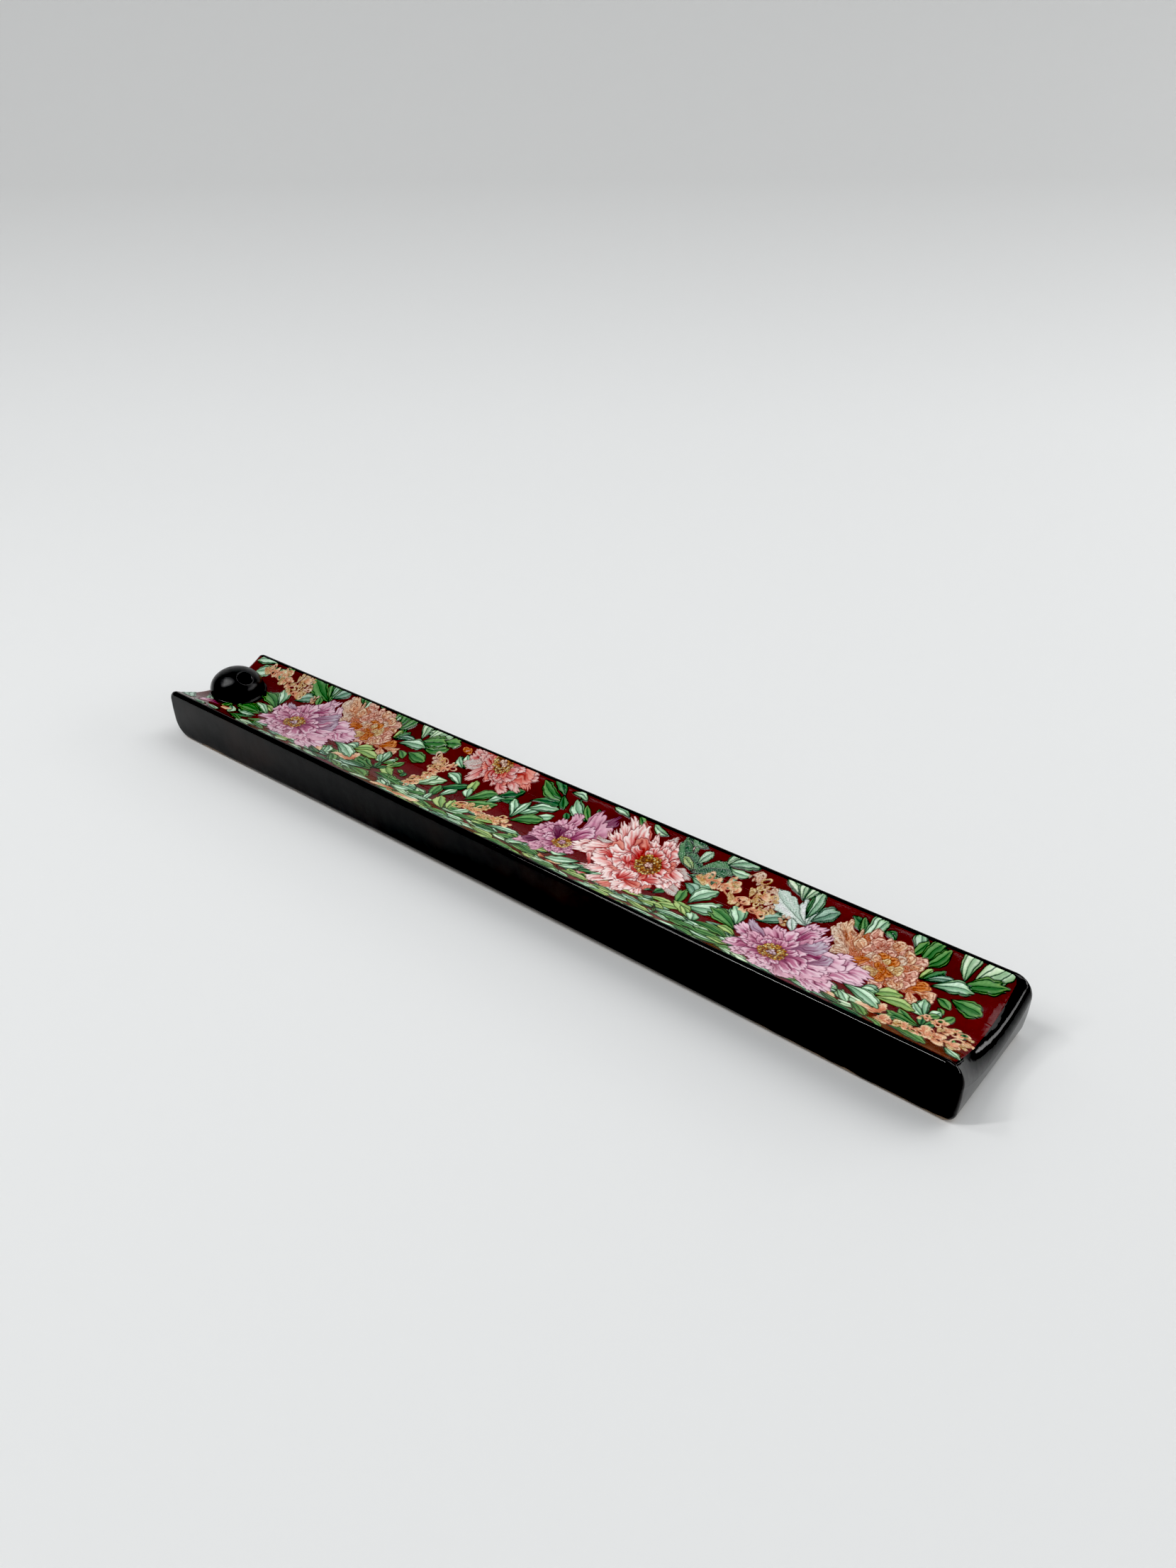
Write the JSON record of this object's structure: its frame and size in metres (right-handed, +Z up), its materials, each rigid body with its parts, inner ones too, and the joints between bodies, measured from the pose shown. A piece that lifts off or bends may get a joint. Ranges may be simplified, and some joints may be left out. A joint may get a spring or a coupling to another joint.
{
  "type": "incense stick holder",
  "caption": "Long shallow-trough ceramic tray with a domed bead near one end that holds an incense stick at a slant and catches its ash.",
  "frame": {"origin": "middle of the sole, on the surface that the holder rests on", "axes": "+X along the bar away from the bead, +Z up"},
  "size_m": [0.235, 0.032, 0.0172],
  "materials": {
    "black_glaze": "glossy",
    "printed_enamel": "glossy, lightly raised print",
    "bead_glaze": "glossy"
  },
  "bodies": {
    "root": {"tray_body": "black_glaze", "trough_transfer": "printed_enamel", "stick_bead": "bead_glaze", "bead_bond": "bead_glaze"}
  },
  "joints": []
}
